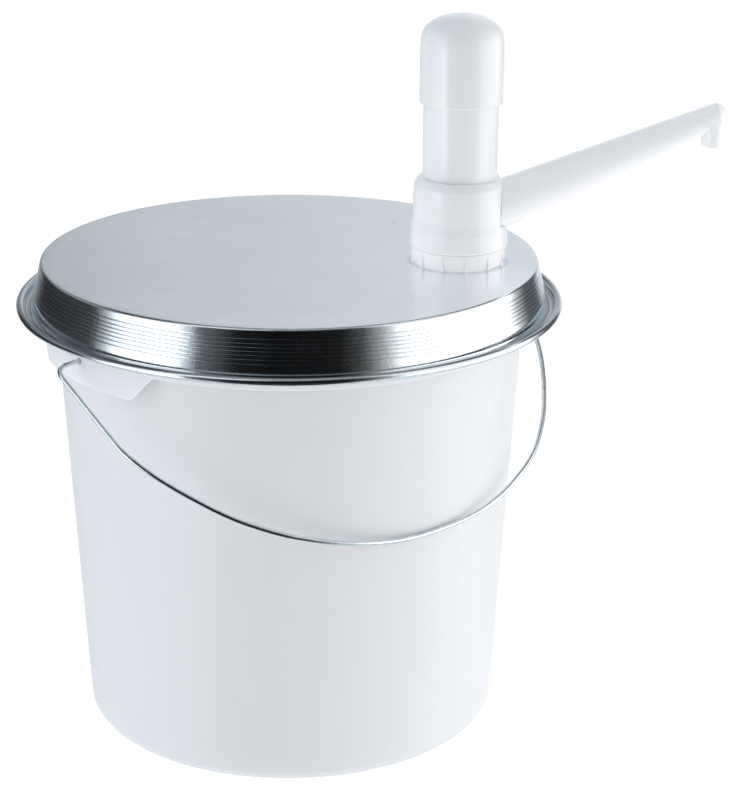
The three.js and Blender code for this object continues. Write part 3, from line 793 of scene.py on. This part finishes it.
def spout_housing():
    body = spin("spout_housing", [
        [18.9, 271.5, 0.2], [25.9, 271.5, 0.3], [26.5, 272.3, 0.5], [26.5, 273.4, 0.8],
        [25.95, 281.5, 5.0], [25.0, 286.5, 4.0], [24.9, 299.5, 7.0], [24.5, 305.2, 4.0],
        [22.2, 309.0, 2.8], [20.15, 309.0, 0.1], [20.15, 303.4], [13.6, 303.4], [13.6, 299.8],
        [11.5, 299.8], [11.5, 297.6], [16.5, 297.6], [16.5, 281.4], [18.9, 281.4]],
        segments=160, steps=7)
    gap = 0.35
    notch = frustum((arm_r(12) + gap, 12), (arm_r(60) + gap, 60), 72, ARM_AXIS)
    boolean(notch, [inward_of(FACE_X)], "DIFFERENCE")
    port = frustum((8.95, 12), (8.95, 40), 48, ARM_AXIS)
    face = block(20, 60, FACE_HEIGHT, move(FACE_X + 10, 0, FACE_Z + FACE_HEIGHT / 2))
    return boolean(body, [face, notch, port], "DIFFERENCE")


def long_spout():
    profile = [(0, 12), (arm_r(12), 12), *((arm_r(u), u) for u in range(20, 157, 8)),
               (arm_r(ARM_END), ARM_END), (0, ARM_END)]
    arm = place(spin("long_spout", profile), ARM_AXIS)
    # past the nozzle's axis the arm is trimmed to a round upright end with a domed edge
    dome = [(0, 320), (TIP_ROUND_R, 320), *arc(0, TIP_ROUND_Z, TIP_ROUND_R, 0, 90, 6),
            (0, TIP_ROUND_Z + TIP_ROUND_R)]
    outside = block(40, 60, 80, move(NOZZLE_X + 20, 0, 340))
    boolean(outside, [place(spin("dome", dome), move(NOZZLE_X - 0.1, 0, 0))], "DIFFERENCE")
    boolean(arm, [outside, inward_of(21.8)], "DIFFERENCE")
    spigot = frustum((8.6, 14), (8.6, 27), 64, ARM_AXIS)
    boolean(spigot, [inward_of(17.3)], "DIFFERENCE")
    nozzle_top = NOZZLE_Z - 0.4
    nozzle = spin("nozzle", [[0, 325.4], [6.0, 325.4, 0.5], [6.5, 337.0], [6.5, nozzle_top],
                             [0, nozzle_top]])
    boolean(arm, [spigot, place(nozzle, NOZZLE)], "UNION")
    # the bore along the arm, and the one down the nozzle
    bore = frustum((6.0, 10), (3.9, ARM_LENGTH), 40, ARM_AXIS)
    outlet = frustum((4.3, 320), (4.1, NOZZLE_Z + 0.6), 40, NOZZLE)
    return boolean(arm, [bore, outlet], "DIFFERENCE")


finish(place(spout_housing(), HEAD), "spout_body", 28)
finish(place(long_spout(), HEAD), "spout_arm", 34)


# ---------------------------------------------------------------- plunger and its guide
turned("guide_sleeve", "guide_tube", [
    [17.7, 303.7, 0.3], [20.1, 303.7, 0.3], [20.25, 345.0], [20.23, 352.4, 1.2],
    [19.4, 353.6, 0.8], [17.7, 353.6, 0.6]], HEAD)
turned("gland", "gland_ring", [
    [11.5, 303.7, 0.3], [17.3, 303.7, 0.3], [17.3, 305.9, 0.4], [11.5, 305.9, 0.4]], HEAD)
turned("stem_lip_seal", "stem_seal", arc(12.4, 301.6, 1.0), HEAD)

CAP_DOME = [    # r, z: from the cap's upright side towards its middle
    [22.4, 371.6], [22.4, 376.7], [22.36, 379.6], [22.15, 382.5], [21.68, 385.35],
    [20.85, 387.6], [19.54, 389.55], [17.5, 391.45], [14.4, 393.35], [11.2, 394.7],
    [7.84, 395.6], [4.6, 396.05],
]
CAP_PROFILE = [
    [0, 391.6], [11.35, 391.6], [11.35, 377.6, 0.3], [12.9, 377.6, 0.3], [12.9, 388.3],
    [16.2, 388.3, 1.0], [18.2, 386.8, 1.0], [19.8, 384.5, 1.0], [20.65, 380.6],
    [20.65, 349.6, 0.3], [21.0, 349.2, 0.4], [22.0, 349.2, 0.4], [22.4, 349.8, 0.4],
    *centripetal(CAP_DOME, per_span=4).tolist(),
    [3.0, 396.15], [2.6, 396.02], [0, 396.0],
]
finish(place(spin("dome_cap", CAP_PROFILE, segments=128), HEAD), "push_cap", 34)
turned("hollow_stem", "plunger_stem", [
    [8.6, 253.4, 0.2], [11, 253.4, 0.3], [11, 391.0, 0.3], [8.6, 391.0, 0.2]], HEAD)
turned("pump_piston", "piston", [
    [5, 232, 0.3], [14.6, 232, 0.3], [15.4, 233, 0.2], [15.4, 236.6, 0.2], [13.4, 236.6],
    [13.4, 240.6], [15.4, 240.6, 0.2], [15.4, 245.2, 0.2], [14.6, 246, 0.3], [8, 246],
    [8, 237], [5, 234]], HEAD)
turned("cup_seal", "piston_seal", [
    [13.7, 236.9], [15.5, 236.9, 0.1], [15.8, 237.5, 0.2], [15.5, 238.6, 0.2],
    [15.8, 239.7, 0.2], [15.5, 240.3, 0.1], [13.7, 240.3]], HEAD)

# plug with crossed slots under it
crown = spin("outlet_crown", [
    [0, 249.4], [8.0, 249.4], [8.0, 246.3, 0.2], [11, 246.3, 0.3], [11, 253.1, 0.3],
    [8.3, 253.1], [8.3, 257.5, 0.4], [0, 257.5]], segments=72, steps=3)
boolean(crown, [block(40, 7.5, 2.6, turn_z(45 + 90 * i) @ move(0, 0, 248.0))
                for i in range(2)], "DIFFERENCE")
finish(place(crown, HEAD), "outlet_ball_cage")
ball("outlet_valve_bead", "outlet_ball", 238.03)

SPRING_R, SPRING_LOW, SPRING_HIGH = 14.6, 307.3, 387.1
SPRING_TURNS, STEPS_PER_TURN = 9, 40


def coil_spring():
    steps = SPRING_TURNS * STEPS_PER_TURN
    path = []
    for k in range(steps + 1):
        a = 2 * pi * k / STEPS_PER_TURN
        z = SPRING_LOW + (SPRING_HIGH - SPRING_LOW) * k / steps
        path.append([SPRING_R * cos(a), SPRING_R * sin(a), z])
    return tube("coil_spring", path, radius=0.8, sides=12)


spring = place(coil_spring(), HEAD)
finish(spring, "return_spring", 50)
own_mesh(spring)


# ---------------------------------------------------------------- studio light
NEUTRAL = (1, 1, 1)
COOL = (0.90, 0.968, 1.035)
WARM = (1.01, 1.0, 0.985)
BACK = (0.925, 0.975, 1.02)
GAIN = 4.0      # levels are stored divided by this, and the background multiplies them back

# Rings of light round the horizon: azimuth, level and tint. The camera looks in from -90.
# What shiny surfaces see: softboxes left and right of the camera, a white back, dark front.
SHINY_RING = [
    (-180, 0.05, COOL), (-176, 0.08, COOL), (-169, 0.55, COOL), (-161, 1.7, COOL),
    (-136, 1.9, COOL), (-130, 1.0, COOL), (-123, 0.14, COOL), (-106, 0.012, COOL),
    (-88, 0.006, COOL), (-60, 0.010, COOL), (-50, 0.07, NEUTRAL), (-41, 0.42, NEUTRAL),
    (-34, 1.2, NEUTRAL), (-27, 2.6, NEUTRAL), (27, 2.4, NEUTRAL), (37, 0.6, NEUTRAL),
    (46, 0.12, COOL), (62, 0.10, COOL), (70, 0.70, BACK), (84, 0.99, BACK), (93, 0.925, BACK),
    (101, 0.78, BACK), (109, 0.50, COOL), (122, 0.28, COOL), (129, 0.10, COOL),
    (135, 0.035, COOL), (180, 0.05, COOL),
]
SHINY_HIGH_RING = [
    (-180, 0.10, COOL), (-158, 0.16, COOL), (-140, 1.1, COOL), (-112, 0.9, COOL),
    (-92, 0.20, COOL), (-62, 0.07, COOL), (-42, 0.12, NEUTRAL), (-28, 0.9, NEUTRAL),
    (25, 0.8, NEUTRAL), (45, 0.10, COOL), (180, 0.10, COOL),
]
SHINY_LOW_RING = [
    (-180, 0.30, COOL), (-160, 0.80, COOL), (-132, 0.80, COOL), (-112, 0.05, COOL),
    (-58, 0.05, COOL), (-35, 0.80, COOL), (180, 0.80, COOL),
]
# what matt surfaces are lit by
MATT_RING = [
    (-180, 1.55, COOL), (-150, 1.45, COOL), (-125, 0.24, COOL), (-100, 0.28, COOL),
    (-82, 0.46, COOL), (-65, 0.38, COOL), (-45, 0.42, NEUTRAL), (-20, 1.42, WARM),
    (10, 2.02, WARM), (40, 1.55, WARM), (75, 1.05, WARM), (110, 1.08, COOL),
    (145, 1.12, COOL), (180, 1.55, COOL),
]


def shade(level, tint):
    return tuple(level / GAIN * c for c in tint)


def studio():
    world = bpy.data.worlds.new("studio")
    scene.world = world
    nodes = Nodes(world)
    x, y, z = nodes.split(nodes.coordinates("Generated"))
    turn = nodes.plus(nodes.calc("ARCTAN2", y, x), pi)
    azimuth = nodes.calc("DIVIDE", turn, 2 * pi)    # 0 to 1 for -180 to 180 degrees
    elevation = nodes.times(nodes.calc("ARCSINE", z), 180 / pi)

    def at(degrees):
        return (degrees + 180) / 360

    def ring(stops):
        node = nodes.add("ShaderNodeValToRGB", {"Fac": azimuth})
        elements = node.color_ramp.elements
        elements[0].position, elements[1].position = at(stops[0][0]), at(stops[-1][0])
        elements[0].color = (*shade(*stops[0][1:]), 1)
        elements[1].color = (*shade(*stops[-1][1:]), 1)
        for degrees, level, tint in stops[1:-1]:
            elements.new(at(degrees)).color = (*shade(level, tint), 1)
        return node.outputs[0]

    def round_from(start, end):
        return nodes.fade(azimuth, at(start), at(end))

    def up_from(start, end):
        return nodes.fade(elevation, start, end)

    shiny = ring(SHINY_RING)
    # a dim wall high on the left picks out the lid's grooves
    left = nodes.largest(round_from(126, 134), round_from(-158, -165))
    shiny = nodes.mix(nodes.times(left, up_from(10, 22)), shiny, shade(0.26, COOL))
    # seen in upright glossy walls: a tall strip light to the left of the camera
    strip = nodes.times(round_from(-147.5, -144), round_from(-126.5, -131))
    shiny = nodes.mix(nodes.times(strip, up_from(0, -5)), shiny, shade(3.95, COOL))
    # higher up it is capped near the white back's level, so the flat lid keeps its outline
    shiny = nodes.mix(up_from(13, 19), shiny, shade(1.02, BACK), "DARKEN")
    shiny = nodes.mix(up_from(30, 50), shiny, ring(SHINY_HIGH_RING))
    shiny = nodes.mix(up_from(57, 72), shiny, shade(0.40, BACK))
    shiny = nodes.mix(up_from(-21, -31), shiny, ring(SHINY_LOW_RING))
    matt = nodes.mix(up_from(25, 75), ring(MATT_RING), shade(0.50, COOL))

    rays = nodes.add("ShaderNodeLightPath").outputs
    before_diffuse = nodes.calc("LESS_THAN", rays["Diffuse Depth"], 0.5)
    direct = nodes.times(rays["Is Glossy Ray"], before_diffuse)
    lit = nodes.add("ShaderNodeBackground",
                    {"Color": nodes.mix(direct, matt, shiny), "Strength": GAIN})
    plain = nodes.add("ShaderNodeBackground", {"Color": (1.0, 1.0, 1.0), "Strength": 1.05})
    pick = nodes.add("ShaderNodeMixShader",
                     {0: rays["Is Camera Ray"], 1: lit.outputs[0], 2: plain.outputs[0]})
    nodes.add("ShaderNodeOutputWorld", {0: pick.outputs[0]})
    world.cycles.sampling_method = "NONE"


studio()


# ---------------------------------------------------------------- floor
def paper_floor(radius=6, x=0.05, z=-0.0004, sides=64):
    """A wide disc that glows almost white and takes faint shadows, in metres."""
    mesh = bpy.data.meshes.new("floor")
    verts = [(x + radius * cos(2 * pi * k / sides), radius * sin(2 * pi * k / sides), z)
             for k in range(sides)]
    mesh.from_pydata(verts, [], [list(range(sides))])
    floor = bpy.data.objects.new("floor", mesh)
    scene.collection.objects.link(floor)
    paper = bpy.data.materials.new("floor_paper")
    nodes = Nodes(paper)
    glow = nodes.add("ShaderNodeEmission", {"Color": (1, 1, 1), "Strength": 0.93})
    matt = nodes.add("ShaderNodeBsdfDiffuse", {"Color": (0.17, 0.17, 0.172)})
    both = nodes.add("ShaderNodeAddShader", {0: glow.outputs[0], 1: matt.outputs[0]})
    nodes.add("ShaderNodeOutputMaterial", {0: both.outputs[0]})
    mesh.materials.append(paper)
    floor.visible_glossy = False
    return floor


paper_floor()

scene.view_settings.view_transform = "Standard"
scene.view_settings.look = "None"


# ---------------------------------------------------------------- camera, in metres
CAMERA_PLACE = (0.15855, -1.16653, 0.59089)
CAMERA_RIGHT = (0.995113, 0.098333, 0.008908)
CAMERA_UP = (-0.040951, 0.328941, 0.943462)
CAMERA_AHEAD = (-0.089843, 0.939217, -0.331360)

camera = bpy.data.objects.new("camera", bpy.data.cameras.new("camera"))
scene.collection.objects.link(camera)
camera.data.lens = 100.0
camera.data.sensor_width = 36.0
camera.data.clip_end = 50
camera.matrix_world = Matrix([
    (right, up, -ahead, at) for right, up, ahead, at
    in zip(CAMERA_RIGHT, CAMERA_UP, CAMERA_AHEAD, CAMERA_PLACE)] + [(0, 0, 0, 1)])
scene.camera = camera
